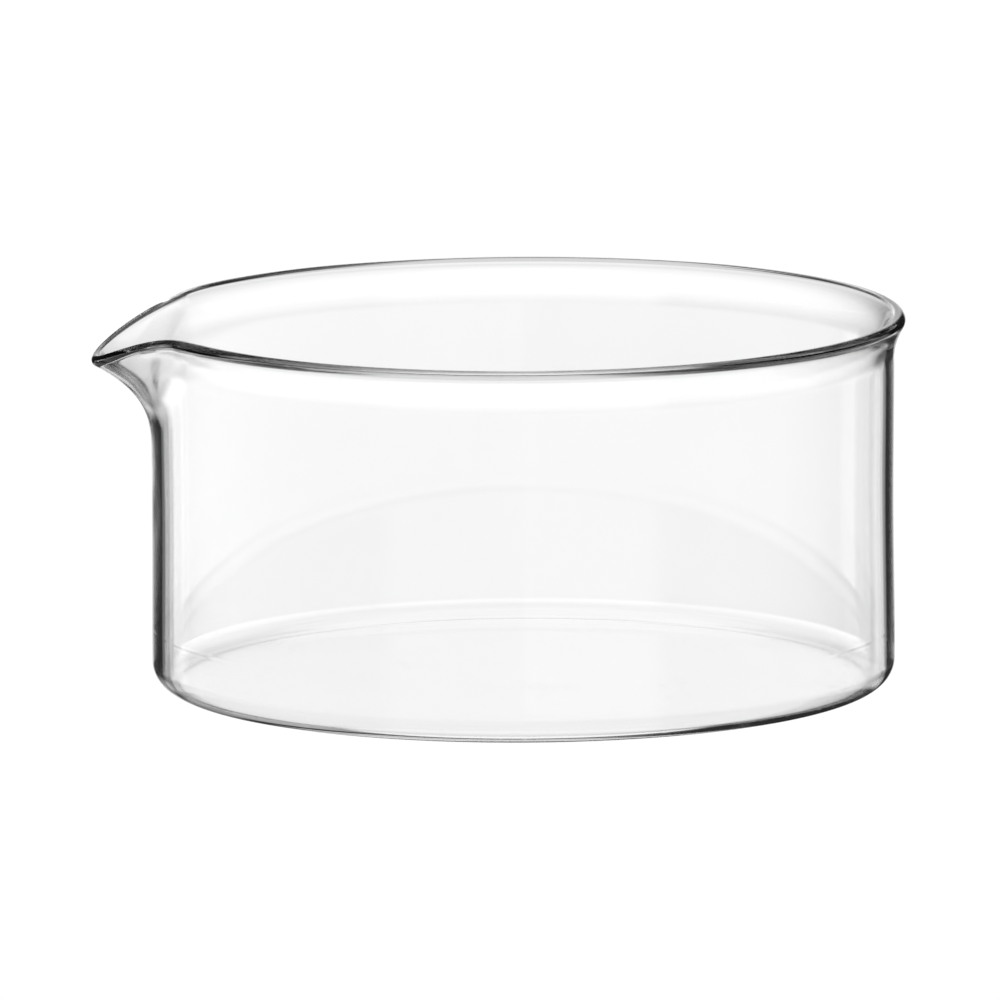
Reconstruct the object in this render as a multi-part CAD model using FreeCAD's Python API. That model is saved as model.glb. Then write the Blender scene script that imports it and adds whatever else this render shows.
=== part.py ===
import FreeCAD, Part
import math
import os

# Evaporating dish with a pouring spout: one piece of borosilicate glass, modelled as one closed solid.
# Millimetres, +Z up. The origin is the centre of the flat underside, on the vessel's axis.
# The spout points along -X.

# Vessel
WALL_OUTER_RADIUS = 75.0
WALL_THICKNESS = 2.5
BASE_THICKNESS = 1.5
OUTER_CORNER_RADIUS = 5.4
INNER_CORNER_RADIUS = 3.5
OVERALL_HEIGHT = 75.6
WAIST_DEPTH = 0.2             # how far the wall draws in, half way between the two heights below
WAIST_LOW = 8.0
WAIST_HIGH = 66.0

# Rim: the wall's top turns outwards, thickens a little and ends in a fire-polished round edge
RIM_CENTRE_RADIUS = 75.8      # to the middle of the round edge
RIM_THICKNESS = 3.0
RIM_FLARE_HEIGHT = 8.0        # height over which the wall turns outwards
RIM_TILT = 62.0               # degrees above horizontal at the edge
RIM_HANDLES = (0.9, 0.6)
THICKENING_LENGTH = 8.0       # how far from the edge the glass starts to thicken

# Spout, at its middle
SPOUT_REACH = 9.75            # how far its lip stands out past the rim
SPOUT_DROP = 7.5              # how far its lip sinks below the rim
SPOUT_THICKNESS = 2.5
SPOUT_FLARE_HEIGHT = 24.2     # height below the rim where the wall starts to turn outwards
SPOUT_TILT = 28.0             # degrees above horizontal at the lip
SPOUT_HANDLES = (0.75, 0.65)

# Where the spout ends: degrees round the rim from its middle, and the power of the fading cosine
REACH_HALF_ANGLE = 25.0
REACH_SHARPNESS = 2.0
DROP_HALF_ANGLE = 41.0
DROP_SHARPNESS = 6.0
FLARE_HALF_ANGLE = 55.0
FLARE_SHARPNESS = 4.0

# The turn from the wall to the lip is a cubic curve. The two HANDLES are its lower and upper handle as
# fractions of the longest that they can be without crossing.

# The skin is one spline surface through sections all the way round
SECTION_STEP = 2.5            # degrees
WALL_STATIONS = 9
FLARE_STATIONS = 14
EDGE_STATIONS = 9

HALF_THICKNESS = WALL_THICKNESS / 2
MIDDLE_RADIUS = WALL_OUTER_RADIUS - HALF_THICKNESS
RIM_CENTRE_HEIGHT = OVERALL_HEIGHT - RIM_THICKNESS / 2
INNER_CORNER_HEIGHT = BASE_THICKNESS + INNER_CORNER_RADIUS
SEWING_TOLERANCE = 1e-4
HALF_TURN = 180.0
ORIGIN = FreeCAD.Vector(0, 0, 0)
UP = FreeCAD.Vector(0, 0, 1)


def fade(offset, reach, sharpness):
    """1 at offset 0, falling smoothly to 0 at reach on both sides."""
    if abs(offset) >= reach:
        return 0.0
    return math.cos(math.pi / 2 * offset / reach) ** sharpness


def blend(start, end, share):
    """The value a share of the way from start to end."""
    return start + (end - start) * share


def waist(height):
    """How far the wall draws in at a height, running smoothly out to nothing at the waist's two ends."""
    middle = (WAIST_LOW + WAIST_HIGH) / 2
    half = (WAIST_HIGH - WAIST_LOW) / 2
    return WAIST_DEPTH * fade(height - middle, half, 2)


def evenly(start, end, count):
    """count values from start to end, both included."""
    return [blend(start, end, i / (count - 1)) for i in range(count)]


def turn_handles(angle):
    """The four (radius, height) handles of the cubic from the wall's middle line to the lip."""
    drop = fade(angle, DROP_HALF_ANGLE, DROP_SHARPNESS)
    flare = fade(angle, FLARE_HALF_ANGLE, FLARE_SHARPNESS)
    reach = fade(angle, REACH_HALF_ANGLE, REACH_SHARPNESS)
    tilt = math.radians(blend(RIM_TILT, SPOUT_TILT, flare))
    lower, upper = (blend(r, s, flare) for r, s in zip(RIM_HANDLES, SPOUT_HANDLES))
    lip_radius = RIM_CENTRE_RADIUS + SPOUT_REACH * reach
    lip_height = RIM_CENTRE_HEIGHT - SPOUT_DROP * drop
    foot_height = RIM_CENTRE_HEIGHT - blend(RIM_FLARE_HEIGHT, SPOUT_FLARE_HEIGHT, flare)
    foot_radius = MIDDLE_RADIUS - waist(foot_height)
    slant = (lip_radius - foot_radius) / math.cos(tilt)
    rise = lip_height - foot_height - slant * math.sin(tilt)
    return [
        (foot_radius, foot_height),
        (foot_radius, foot_height + lower * rise),
        (lip_radius - upper * slant * math.cos(tilt), lip_height - upper * slant * math.sin(tilt)),
        (lip_radius, lip_height),
    ]


def flare_line(angle):
    """The turned-out middle line: (radius, height, outward normal, half thickness) at each station."""
    handles = turn_handles(angle)
    lip_thickness = blend(RIM_THICKNESS, SPOUT_THICKNESS, fade(angle, DROP_HALF_ANGLE, DROP_SHARPNESS))
    line = []
    for t in evenly(0, 1, FLARE_STATIONS):
        weights = [(1 - t) ** 3, 3 * t * (1 - t) ** 2, 3 * t * t * (1 - t), t ** 3]
        slopes = [-((1 - t) ** 2), (1 - t) ** 2 - 2 * t * (1 - t), 2 * t * (1 - t) - t * t, t * t]
        radius, height = (sum(w * h[k] for w, h in zip(weights, handles)) for k in (0, 1))
        along = [sum(s * h[k] for s, h in zip(slopes, handles)) for k in (0, 1)]
        length = math.hypot(*along)
        to_lip = math.dist((radius, height), handles[-1])
        thickness = blend(WALL_THICKNESS, lip_thickness, fade(to_lip, THICKENING_LENGTH, 2))
        line.append((radius, height, (along[1] / length, -along[0] / length), thickness / 2))
    return line


def section(angle):
    """(radius, height) points at an angle from the spout: up outside, round the edge, down inside."""
    line = flare_line(angle)
    foot_height = line[0][1]
    outer_wall = [(WALL_OUTER_RADIUS - waist(z), z)
                  for z in evenly(OUTER_CORNER_RADIUS, foot_height, WALL_STATIONS)]
    inner_wall = [(WALL_OUTER_RADIUS - WALL_THICKNESS - waist(z), z)
                  for z in evenly(foot_height, INNER_CORNER_HEIGHT, WALL_STATIONS)]
    outer_flare = [(r + half * n[0], z + half * n[1]) for r, z, n, half in line[1:]]
    inner_flare = [(r - half * n[0], z - half * n[1]) for r, z, n, half in reversed(line[1:])]
    lip_radius, lip_height, normal, half = line[-1]
    edge = []
    for turn in evenly(0, math.pi, EDGE_STATIONS)[1:-1]:
        across = half * math.cos(turn)
        beyond = half * math.sin(turn)
        edge.append((lip_radius + across * normal[0] - beyond * normal[1],
                     lip_height + across * normal[1] + beyond * normal[0]))
    return outer_wall + outer_flare + edge + inner_flare + inner_wall


def place(angle, radius, height):
    """The point at an angle from the spout, which points along -X."""
    turn = math.radians(angle)
    return FreeCAD.Vector(-radius * math.cos(turn), -radius * math.sin(turn), height)


def skin_surface():
    """The spline surface through the sections, and the parameter of each point along a section."""
    angles = evenly(-HALF_TURN, HALF_TURN, round(2 * HALF_TURN / SECTION_STEP) + 1)
    rows = [[place(angle, radius, height) for radius, height in section(angle)] for angle in angles[:-1]]
    gaps = [sum(row[j].distanceToPoint(row[j - 1]) for row in rows) / len(rows)
            for j in range(1, len(rows[0]))]
    along = [sum(gaps[:j]) for j in range(len(gaps) + 1)]
    profiles = []
    for row in rows:
        profiles.append(Part.BSplineCurve())
        profiles[-1].interpolate(Points=row, Parameters=along)
    rings = []
    for poles in zip(*(profile.getPoles() for profile in profiles)):
        rings.append(Part.BSplineCurve())
        rings[-1].interpolate(Points=list(poles), Parameters=angles, PeriodicFlag=True)
    ring = rings[0]
    profile = profiles[0]
    surface = Part.BSplineSurface()
    surface.buildFromPolesMultsKnots([list(row) for row in zip(*(r.getPoles() for r in rings))],
                                     ring.getMultiplicities(), profile.getMultiplicities(),
                                     ring.getKnots(), profile.getKnots(), True, False,
                                     ring.Degree, profile.Degree)
    return surface, along


def skin_faces():
    """The skin's five bands: outer wall, outer flare, edge, inner flare and inner wall."""
    surface, along = skin_surface()
    cuts = [0]
    for stations in (WALL_STATIONS, FLARE_STATIONS, EDGE_STATIONS, FLARE_STATIONS, WALL_STATIONS):
        cuts.append(cuts[-1] + stations - 1)
    faces = []
    for start, end in zip(cuts, cuts[1:]):
        band = surface.copy()
        band.segment(-HALF_TURN, HALF_TURN, along[start], along[end])
        faces.append(band.toShape())
    return faces


def floor_faces(flat_radius, height, corner_radius):
    """A flat disc and the rounded corner from it up to the wall's foot, turned round the axis."""
    arc = [place(HALF_TURN, flat_radius + corner_radius * math.sin(turn),
                 height + corner_radius * (1 - math.cos(turn))) for turn in evenly(0, math.pi / 2, 3)]
    flat = Part.LineSegment(place(HALF_TURN, 0, height), arc[0])
    profile = Part.Wire([flat.toShape(), Part.Arc(*arc).toShape()])
    return profile.revolve(ORIGIN, UP, 2 * HALF_TURN).Faces


def glass_dish():
    faces = skin_faces()
    faces += floor_faces(WALL_OUTER_RADIUS - OUTER_CORNER_RADIUS, 0.0, OUTER_CORNER_RADIUS)
    faces += floor_faces(WALL_OUTER_RADIUS - WALL_THICKNESS - INNER_CORNER_RADIUS, BASE_THICKNESS,
                         INNER_CORNER_RADIUS)
    shell = Part.makeCompound(faces)
    shell.sewShape(SEWING_TOLERANCE)
    return Part.makeSolid(shell.Shells[0])


os.makedirs("parts", exist_ok=True)
dish = glass_dish()
box = dish.BoundBox
print("glass_dish valid", dish.isValid(), "closed", dish.isClosed(), "volume %.0f mm3" % dish.Volume)
print("box", [round(v, 2) for v in (box.XMin, box.XMax, box.YMin, box.YMax, box.ZMin, box.ZMax)])
dish.exportStep("parts/glass_dish.step")
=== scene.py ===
import math

import bpy
import numpy as np
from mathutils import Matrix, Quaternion, Vector


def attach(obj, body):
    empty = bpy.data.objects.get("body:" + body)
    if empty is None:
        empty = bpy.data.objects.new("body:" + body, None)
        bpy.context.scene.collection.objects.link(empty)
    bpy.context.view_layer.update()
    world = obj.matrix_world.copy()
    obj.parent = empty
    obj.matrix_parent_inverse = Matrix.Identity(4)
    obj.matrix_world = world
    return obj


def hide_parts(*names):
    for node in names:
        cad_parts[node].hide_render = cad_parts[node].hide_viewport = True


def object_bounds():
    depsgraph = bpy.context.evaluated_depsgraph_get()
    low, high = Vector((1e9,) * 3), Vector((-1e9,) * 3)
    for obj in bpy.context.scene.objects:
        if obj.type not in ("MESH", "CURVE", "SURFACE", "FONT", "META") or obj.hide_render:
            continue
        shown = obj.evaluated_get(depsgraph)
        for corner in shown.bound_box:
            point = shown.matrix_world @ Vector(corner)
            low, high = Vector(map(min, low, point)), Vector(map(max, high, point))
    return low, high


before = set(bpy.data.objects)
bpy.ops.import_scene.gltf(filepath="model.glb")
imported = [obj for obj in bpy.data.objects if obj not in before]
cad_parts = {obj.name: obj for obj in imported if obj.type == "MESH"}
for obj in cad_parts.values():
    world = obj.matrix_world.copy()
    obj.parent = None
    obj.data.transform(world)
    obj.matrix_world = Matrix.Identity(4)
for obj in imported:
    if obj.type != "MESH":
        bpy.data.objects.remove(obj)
cad_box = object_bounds()

# The dish, in metres and radians. Its height, width and reach come from the CAD box, and the rest repeats
# the CAD's sizes.
WALL_OUTER_RADIUS = 0.075
WALL_THICKNESS = 0.0025
BASE_THICKNESS = 0.0015
OUTER_CORNER_RADIUS = 0.0054
INNER_CORNER_RADIUS = 0.0035
WAIST_DEPTH = 0.0002          # how far the wall draws in, half way between the two heights below
WAIST_LOW = 0.008
WAIST_HIGH = 0.066
RIM_THICKNESS = 0.003
RIM_FLARE_HEIGHT = 0.008      # height over which the wall turns outwards
RIM_TILT = math.radians(62)   # above horizontal, at the edge
RIM_HANDLES = np.array((0.9, 0.6))
THICKENING_LENGTH = 0.008     # how far from the edge the glass starts to thicken

# The spout at its middle
SPOUT_THICKNESS = 0.0025
SPOUT_DROP = 0.0075           # how far its lip sinks below the rim
SPOUT_FLARE_HEIGHT = 0.0242
SPOUT_TILT = math.radians(28)
SPOUT_HANDLES = np.array((0.75, 0.65))

# Where the spout ends: the angle round the rim from its middle, and the power of the fading cosine
REACH_HALF_ANGLE = math.radians(25)
REACH_SHARPNESS = 2.0
DROP_HALF_ANGLE = math.radians(41)
DROP_SHARPNESS = 6.0
FLARE_HALF_ANGLE = math.radians(55)
FLARE_SHARPNESS = 4.0

# The turn from the wall to the lip is a cubic curve. The two HANDLES are its lower and upper handle as
# fractions of the longest that they can be without crossing.

HALF_THICKNESS = WALL_THICKNESS / 2
RIM_CENTRE_RADIUS = cad_box[1].x - RIM_THICKNESS / 2
RIM_CENTRE_HEIGHT = cad_box[1].z - RIM_THICKNESS / 2
SPOUT_REACH = -cad_box[0].x - SPOUT_THICKNESS / 2 - RIM_CENTRE_RADIUS
OUTER_FLAT = WALL_OUTER_RADIUS - OUTER_CORNER_RADIUS
INNER_FLAT = WALL_OUTER_RADIUS - WALL_THICKNESS - INNER_CORNER_RADIUS
INNER_CORNER_HEIGHT = BASE_THICKNESS + INNER_CORNER_RADIUS

# How finely the glass is meshed. The columns are closest within SPOUT_SECTOR on both sides of the spout.
SPOUT_SECTOR = math.radians(56)
SPOUT_COLUMNS = 200
PLAIN_COLUMNS = 220
FLAT_ROWS = 8
CORNER_ROWS = 16
WALL_ROWS = 26
FLARE_ROWS = 28
EDGE_ROWS = 17

# Glass. Depths, heights and widths are in metres, and scales are a noise's cells per metre. A range is the
# part of a noise's values over which its effect grows from nothing to full.
GLASS_IOR = 1.473
GLASS_CLEAR = (0.993, 0.994, 0.993, 1)
GLASS_TINT = (0.985, 0.989, 0.987, 1)
TINT_RANGE = (0.35, 0.65)
CLOUD_SCALE = 45
CLOUD_DETAIL = 2
WAVE_SCALE = 22
WAVE_DETAIL = 1
WAVE_DEPTH = 0.00008
SCRATCH_SCALE = 350
SCRATCH_STRETCH = (1, 1, 4)
SCRATCH_DETAIL = 3
SCRATCH_RANGE = (0.62, 0.7)
PATCH_RANGE = (0.54, 0.64)
SCUFF_LOW = 0.008             # the scuffs thin out from this height
SCUFF_HIGH = 0.022            # and end at this one
SCUFF_ROUGHNESS = 0.08
SCUFF_DEPTH = 0.000004
MOULD_LINE_HEIGHT = 0.0123
MOULD_LINE_WIDTH = 0.0006
MOULD_LINE_DEPTH = 0.000004

# Studio. Sizes are in metres.
WHITE = 1.02                  # brightness of the floor and the background, just past plain white
FLOOR_SIZE = 40
FLOOR_HEIGHT = -0.0002
RIG_HEIGHT = 0.0375           # the middle of the dish
TENT_RADIUS = 6
TENT_COLUMNS = 360
TENT_ROWS = 180
LIGHT_BOUNCES = 32            # light trapped in the foot bounces many times

# The light tent's screens, in degrees round the dish and above the horizon, as they stand in the main view.
# Left and right edges are counted from straight behind the dish, and are positive to the camera's right.
# An edge at AROUND or PAST_POLE lies beyond the end of the tent's grid, so that nothing fades there.
# The two gaps beside the backdrop stay dark, and they give the glass its dark outlines.
DARK_CARD = 0.025             # brightness where there is no screen
SOFT_ENDS = 5                 # how soft the screens' bottom and top edges are
AROUND = 200
PAST_POLE = 95
SCREENS = {
    # name: brightness, left, right, bottom, top, and how soft the left and right edges are
    "backdrop": (0.55, -11.5, 10.5, -13.5, -6.5, 1.5),
    "backdrop_middle": (0.32, -7, 5, -13.5, -6.5, 6),
    "backdrop_raised": (1.12, -11, 10.5, -6.5, 1, 6),
    "backdrop_high": (0.9, -10, 9, 1, 50, 6),
    "backdrop_low": (0.9, -10, 5.5, -20, -13.5, 6),
    "table_behind": (0.65, -6, 3.5, -36, -20, 3),
    "table_close_behind": (0.6, -16, 6, -50, -36, 6),
    "left_grey": (0.5, -37.5, -29, -13.5, -6.5, 2),
    "left_bright": (1.65, -50, -37.5, -13.5, -6.5, 2),
    "left_white": (1.2, -AROUND, -50, -13.5, -6.5, 2),
    "left_table": (0.6, -AROUND, -50, -35, -13.5, 6),
    "left_table_near": (0.4, -AROUND, -28, -58, -35, 6),
    "under_spout": (0.6, -28, -10, -19.5, -14.5, 6),
    "under_spout_low": (0.3, -45, -20, -35, -20, 6),
    "right_grey": (0.8, 26.5, 33, -13.5, -6.5, 3),
    "right_white": (1.45, 33, AROUND, -13.5, -6.5, 3),
    "right_raised": (0.5, 38, 135, -6.5, 10, 6),
    "right_table": (0.5, 75, AROUND, -58, -13.5, 6),
    "front_left": (1, -AROUND, -135, -6.5, 25, 10),
    "front_right": (1, 135, AROUND, -6.5, 25, 10),
    "underneath": (0.9, -AROUND, AROUND, -PAST_POLE, -60, 6),
    "overhead": (1.15, -AROUND, AROUND, 47, PAST_POLE, 6),
}

# Camera: a long lens from far away, in metres and radians apart from the two millimetre values
CAMERA_DISTANCE = 4
CAMERA_ELEVATION = math.radians(9.3)
CAMERA_ROLL = math.radians(0.3)
CAMERA_AIM = Vector((-0.0046, 0, 0.0374))
CAMERA_CLIP_END = 100
LENS_MM = 713.8
SENSOR_WIDTH_MM = 36


def link(name, data):
    """A new object in the scene."""
    made = bpy.data.objects.new(name, data)
    bpy.context.scene.collection.objects.link(made)
    return made


def fade(offset, reach, sharpness=2):
    """1 at offset 0, falling smoothly to 0 at reach on both sides."""
    near = np.clip(np.abs(offset) / reach, 0, 1)
    return np.cos(np.pi / 2 * near) ** sharpness


def waist(height):
    """How far the wall draws in at a height."""
    middle = (WAIST_LOW + WAIST_HIGH) / 2
    half = (WAIST_HIGH - WAIST_LOW) / 2
    return WAIST_DEPTH * fade(height - middle, half)


def turn_handles(angle):
    """The four (radius, height) handles of the cubic from the wall's middle line to the lip."""
    flare = fade(angle, FLARE_HALF_ANGLE, FLARE_SHARPNESS)
    tilt = RIM_TILT + (SPOUT_TILT - RIM_TILT) * flare
    lower, upper = RIM_HANDLES + (SPOUT_HANDLES - RIM_HANDLES) * flare
    lip_radius = RIM_CENTRE_RADIUS + SPOUT_REACH * fade(angle, REACH_HALF_ANGLE, REACH_SHARPNESS)
    lip_height = RIM_CENTRE_HEIGHT - SPOUT_DROP * fade(angle, DROP_HALF_ANGLE, DROP_SHARPNESS)
    foot_height = RIM_CENTRE_HEIGHT - RIM_FLARE_HEIGHT - (SPOUT_FLARE_HEIGHT - RIM_FLARE_HEIGHT) * flare
    foot_radius = WALL_OUTER_RADIUS - HALF_THICKNESS - waist(foot_height)
    slant = (lip_radius - foot_radius) / np.cos(tilt)
    rise = lip_height - foot_height - slant * np.sin(tilt)
    return np.array([
        (foot_radius, foot_height),
        (foot_radius, foot_height + lower * rise),
        (lip_radius - upper * slant * np.cos(tilt), lip_height - upper * slant * np.sin(tilt)),
        (lip_radius, lip_height),
    ])


def flare_line(angle):
    """The turned-out lip at an angle from the spout: middle line, outward normals and half thicknesses."""
    handles = turn_handles(angle)
    t = np.linspace(0, 1, FLARE_ROWS)[:, None]
    weights = np.hstack([(1 - t) ** 3, 3 * t * (1 - t) ** 2, 3 * t * t * (1 - t), t ** 3])
    slopes = np.hstack([-((1 - t) ** 2), (1 - t) ** 2 - 2 * t * (1 - t), 2 * t * (1 - t) - t * t, t * t])
    line = weights @ handles
    along = slopes @ handles
    along /= np.linalg.norm(along, axis=1)[:, None]
    to_lip = np.linalg.norm(line - line[-1], axis=1)
    at_spout = fade(angle, DROP_HALF_ANGLE, DROP_SHARPNESS)
    bead = (RIM_THICKNESS + (SPOUT_THICKNESS - RIM_THICKNESS) * at_spout) / 2 - HALF_THICKNESS
    half = HALF_THICKNESS + bead * fade(to_lip, THICKENING_LENGTH)
    return line, np.stack([along[:, 1], -along[:, 0]], axis=1), half[:, None]


def corner(flat_radius, height, radius):
    """Quarter circle from a floor's edge up to the wall's foot."""
    turn = np.linspace(0, np.pi / 2, CORNER_ROWS)
    return np.stack([flat_radius + radius * np.sin(turn), height + radius * (1 - np.cos(turn))], axis=1)


def wall(inset, low, high):
    """Rows up the wall, inset from its outer face."""
    height = np.linspace(low, high, WALL_ROWS)
    return np.stack([WALL_OUTER_RADIUS - inset - waist(height), height], axis=1)


def flat(height, edge_radius):
    """Rows from near the axis out to a floor's edge."""
    radius = np.linspace(0, edge_radius, FLAT_ROWS + 1)[1:]
    return np.stack([radius, np.full(FLAT_ROWS, height)], axis=1)


def section(angle):
    """(radius, height) rows at an angle from the spout: out along the underside, up the outside,
    over the edge, down the inside and in along the inner floor."""
    line, normal, half = flare_line(angle)
    foot = line[0, 1]
    turn = np.linspace(0, np.pi, EDGE_ROWS)[:, None]
    tip, across = line[-1], normal[-1]
    beyond = np.array([-across[1], across[0]])
    edge = tip + half[-1] * (np.cos(turn) * across + np.sin(turn) * beyond)
    return np.vstack([
        flat(0, OUTER_FLAT),
        corner(OUTER_FLAT, 0, OUTER_CORNER_RADIUS)[1:],
        wall(0, OUTER_CORNER_RADIUS, foot)[1:],
        (line + half * normal)[1:-1],
        edge,
        (line - half * normal)[1:-1][::-1],
        wall(WALL_THICKNESS, INNER_CORNER_HEIGHT, foot)[::-1],
        corner(INNER_FLAT, BASE_THICKNESS, INNER_CORNER_RADIUS)[:-1][::-1],
        flat(BASE_THICKNESS, INNER_FLAT)[:-1][::-1],
    ])


def dish_angles():
    """Angles of the mesh's columns, closer together across the spout."""
    spout = np.linspace(-SPOUT_SECTOR, SPOUT_SECTOR, SPOUT_COLUMNS + 1)
    plain = np.linspace(SPOUT_SECTOR, 2 * np.pi - SPOUT_SECTOR, PLAIN_COLUMNS + 1)[1:-1]
    return np.concatenate([spout, plain])


def dish_faces(columns, rows):
    """Quads round the skin, and fans to the last two points, the centres of the underside and the floor."""
    under = columns * rows
    inside = under + 1
    faces = []
    for column in range(columns):
        here = column * rows
        there = (column + 1) % columns * rows
        faces.append((under, there, here))
        faces.append((inside, here + rows - 1, there + rows - 1))
        for row in range(rows - 1):
            faces.append((here + row, there + row, there + row + 1, here + row + 1))
    return faces


def make_dish():
    """The whole dish as one closed mesh, with its spout pointing along -X."""
    angles = dish_angles()
    past_back = np.where(angles > np.pi, 2 * np.pi, 0)
    sections = np.array([section(angle) for angle in angles - past_back])
    columns, rows = sections.shape[:2]
    x = -sections[:, :, 0] * np.cos(angles)[:, None]
    y = -sections[:, :, 0] * np.sin(angles)[:, None]
    points = np.stack([x, y, sections[:, :, 1]], axis=2).reshape(-1, 3)
    points = np.vstack([points, [(0, 0, 0), (0, 0, BASE_THICKNESS)]])
    mesh = bpy.data.meshes.new("dish")
    mesh.from_pydata(points.tolist(), [], dish_faces(columns, rows))
    mesh.polygons.foreach_set("use_smooth", [True] * len(mesh.polygons))
    mesh.validate()
    mesh.materials.append(glass_material())
    return link("dish", mesh)


def add(tree, kind, inputs, **settings):
    """A new node. Each input is a value, or another node's output to link."""
    made = tree.nodes.new(kind)
    for name, value in settings.items():
        setattr(made, name, value)
    for name, value in inputs.items():
        if isinstance(value, bpy.types.NodeSocket):
            tree.links.new(value, made.inputs[name])
        else:
            made.inputs[name].default_value = value
    return made


def spread(tree, value, low, high, start, end):
    """The value's range from low to high turned smoothly into start to end."""
    ends = {"Value": value, "From Min": low, "From Max": high, "To Min": start, "To Max": end}
    return add(tree, "ShaderNodeMapRange", ends, interpolation_type="SMOOTHSTEP").outputs["Result"]


def maths(tree, operation, first, second=0):
    """The result of a Math node."""
    return add(tree, "ShaderNodeMath", {0: first, 1: second}, operation=operation).outputs["Value"]


def noise(tree, vector, scale, detail):
    """The grey value of a noise texture."""
    inputs = {"Vector": vector, "Scale": scale, "Detail": detail}
    return add(tree, "ShaderNodeTexNoise", inputs).outputs["Fac"]


def tint_colour(tree, cloud):
    """Glass colour that drifts a little between two nearly clear tints."""
    tint = add(tree, "ShaderNodeValToRGB", {"Fac": cloud})
    for stop, position, colour in zip(tint.color_ramp.elements, TINT_RANGE, (GLASS_TINT, GLASS_CLEAR)):
        stop.position = position
        stop.color = colour
    return tint.outputs["Color"]


def scuff_mask(tree, place, height, cloud):
    """Fine scratches in patches, near the foot only."""
    stretched = add(tree, "ShaderNodeMapping", {"Vector": place, "Scale": SCRATCH_STRETCH}).outputs["Vector"]
    scratches = spread(tree, noise(tree, stretched, SCRATCH_SCALE, SCRATCH_DETAIL), *SCRATCH_RANGE, 0, 1)
    patches = spread(tree, cloud, *PATCH_RANGE, 0, 1)
    low = spread(tree, height, SCUFF_LOW, SCUFF_HIGH, 1, 0)
    return maths(tree, "MULTIPLY", maths(tree, "MULTIPLY", scratches, patches), low)


def relief_height(tree, place, height, scuffs):
    """How far the surface stands out, in metres: gentle waves, the mould line and the scuffs' depth."""
    waves = noise(tree, place, WAVE_SCALE, WAVE_DETAIL)
    from_line = maths(tree, "ABSOLUTE", maths(tree, "SUBTRACT", height, MOULD_LINE_HEIGHT))
    line = spread(tree, from_line, 0, MOULD_LINE_WIDTH, MOULD_LINE_DEPTH, 0)
    raised = maths(tree, "ADD", maths(tree, "MULTIPLY", waves, WAVE_DEPTH), line)
    return maths(tree, "SUBTRACT", raised, maths(tree, "MULTIPLY", scuffs, SCUFF_DEPTH))


def glass_material():
    """Clear borosilicate glass."""
    material = bpy.data.materials.new("clear_glass")
    material.use_nodes = True
    tree = material.node_tree
    shader = tree.nodes["Principled BSDF"]
    shader.inputs["Transmission Weight"].default_value = 1
    shader.inputs["IOR"].default_value = GLASS_IOR

    place = add(tree, "ShaderNodeTexCoord", {}).outputs["Object"]
    height = add(tree, "ShaderNodeSeparateXYZ", {"Vector": place}).outputs["Z"]
    cloud = noise(tree, place, CLOUD_SCALE, CLOUD_DETAIL)
    scuffs = scuff_mask(tree, place, height, cloud)
    relief = relief_height(tree, place, height, scuffs)
    bump = add(tree, "ShaderNodeBump", {"Height": relief, "Strength": 1, "Distance": 1})
    tree.links.new(tint_colour(tree, cloud), shader.inputs["Base Color"])
    tree.links.new(maths(tree, "MULTIPLY", scuffs, SCUFF_ROUGHNESS), shader.inputs["Roughness"])
    tree.links.new(bump.outputs["Normal"], shader.inputs["Normal"])
    return material


def emission_material(name, strength):
    """A light source's material, and its shader."""
    material = bpy.data.materials.new(name)
    material.use_nodes = True
    material.cycles.emission_sampling = "NONE"
    tree = material.node_tree
    tree.nodes.clear()
    glow = tree.nodes.new("ShaderNodeEmission")
    glow.inputs["Strength"].default_value = strength
    out = tree.nodes.new("ShaderNodeOutputMaterial")
    tree.links.new(glow.outputs["Emission"], out.inputs["Surface"])
    return material, glow


def make_floor():
    """A white floor without shade, which only the camera sees."""
    half = FLOOR_SIZE / 2
    corners = [(x, y, FLOOR_HEIGHT) for x, y in ((-half, -half), (half, -half), (half, half), (-half, half))]
    mesh = bpy.data.meshes.new("floor")
    mesh.from_pydata(corners, [], [(0, 1, 2, 3)])
    material, _ = emission_material("floor_white", WHITE)
    mesh.materials.append(material)
    floor = link("floor", mesh)
    floor.visible_transmission = False
    floor.visible_glossy = False
    floor.visible_diffuse = False


def soft_step(offset, soft):
    """0 below an edge and 1 above it, with a smooth change soft degrees wide."""
    share = np.clip(offset / soft + 0.5, 0, 1)
    return share * share * (3 - 2 * share)


def between(value, low, high, soft):
    """1 between two soft edges and 0 beyond them."""
    return soft_step(value - low, soft) * soft_step(high - value, soft)


def tent_light(azimuth, elevation):
    """How bright the light tent is in each direction from the dish, given in degrees."""
    light = np.full(azimuth.shape, DARK_CARD)
    for brightness, left, right, bottom, top, soft in SCREENS.values():
        across = between(azimuth, left, right, soft)
        light += brightness * across * between(elevation, bottom, top, SOFT_ENDS)
    return light


def tent_mesh():
    """A dome whose points carry their brightness."""
    azimuth, elevation = np.meshgrid(np.linspace(-180, 180, TENT_COLUMNS + 1),
                                     np.linspace(-90, 90, TENT_ROWS + 1), indexing="ij")
    turn = np.radians(azimuth)
    up = np.radians(elevation)
    directions = np.stack([np.sin(turn) * np.cos(up), np.cos(turn) * np.cos(up), np.sin(up)], axis=2)
    stride = TENT_ROWS + 1
    faces = []
    for column in range(TENT_COLUMNS):
        for row in range(TENT_ROWS):
            first = column * stride + row
            faces.append((first, first + 1, first + stride + 1, first + stride))
    mesh = bpy.data.meshes.new("light_tent")
    mesh.from_pydata((TENT_RADIUS * directions).reshape(-1, 3).tolist(), [], faces)
    light = mesh.attributes.new("light", "FLOAT", "POINT")
    light.data.foreach_set("value", tent_light(azimuth, elevation).ravel())
    return mesh


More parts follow.
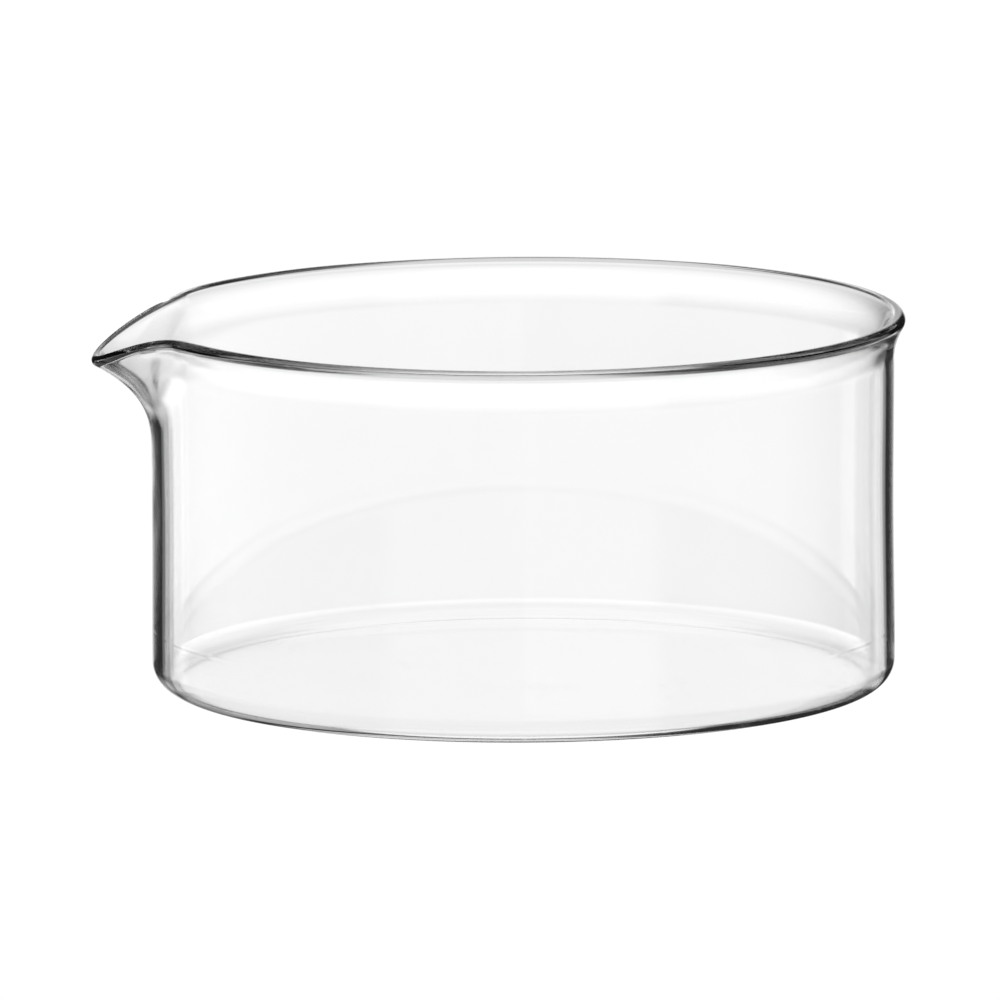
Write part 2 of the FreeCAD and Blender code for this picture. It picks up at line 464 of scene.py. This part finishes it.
def make_light_tent(rig):
    """A dome of soft light round the dish, seen only through its glass and reflected in it."""
    mesh = tent_mesh()
    material, glow = emission_material("tent_light", 1)
    attribute = material.node_tree.nodes.new("ShaderNodeAttribute")
    attribute.attribute_name = "light"
    material.node_tree.links.new(attribute.outputs["Fac"], glow.inputs["Strength"])
    mesh.materials.append(material)
    tent = link("light_tent", mesh)
    tent.parent = rig
    # Undoes the rig's tilt in the main view, so that the screens' elevations are true there.
    tent.rotation_euler = (CAMERA_ELEVATION, 0, 0)
    tent.visible_camera = False
    tent.visible_diffuse = False
    tent.visible_shadow = False


def make_rig(camera):
    """An empty at the dish's middle whose -Y axis points at the camera in every view. The tent rides on it,
    so the light follows the camera round and up, and the backdrop is always behind the dish."""
    rig = link("studio_rig", None)
    rig.location = (0, 0, RIG_HEIGHT)
    turn = rig.constraints.new("TRACK_TO")
    turn.target = camera
    turn.track_axis = "TRACK_NEGATIVE_Y"
    turn.up_axis = "UP_Z"
    return rig


def make_camera():
    """The main view's camera, in front of the dish."""
    camera = link("camera", bpy.data.cameras.new("camera"))
    back = Vector((0, -math.cos(CAMERA_ELEVATION), math.sin(CAMERA_ELEVATION)))
    camera.location = CAMERA_AIM + CAMERA_DISTANCE * back
    camera.rotation_mode = "QUATERNION"
    camera.rotation_quaternion = (-back).to_track_quat("-Z", "Y") @ Quaternion((0, 0, 1), -CAMERA_ROLL)
    camera.data.lens = LENS_MM
    camera.data.sensor_width = SENSOR_WIDTH_MM
    camera.data.clip_end = CAMERA_CLIP_END
    bpy.context.scene.camera = camera
    return camera


def make_world():
    """A white background that lights nothing and shows only to the camera."""
    world = bpy.data.worlds.new("studio")
    world.use_nodes = True
    background = world.node_tree.nodes["Background"]
    background.inputs["Color"].default_value = (1, 1, 1, 1)
    background.inputs["Strength"].default_value = WHITE
    world.cycles_visibility.glossy = False
    world.cycles_visibility.transmission = False
    world.cycles_visibility.diffuse = False
    bpy.context.scene.world = world


scene = bpy.context.scene
scene.view_settings.view_transform = "Standard"
scene.cycles.max_bounces = LIGHT_BOUNCES
scene.cycles.glossy_bounces = LIGHT_BOUNCES
scene.cycles.transmission_bounces = LIGHT_BOUNCES

dish = make_dish()
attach(dish, "root")
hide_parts("glass_dish")

camera = make_camera()
make_world()
make_floor()
make_light_tent(make_rig(camera))
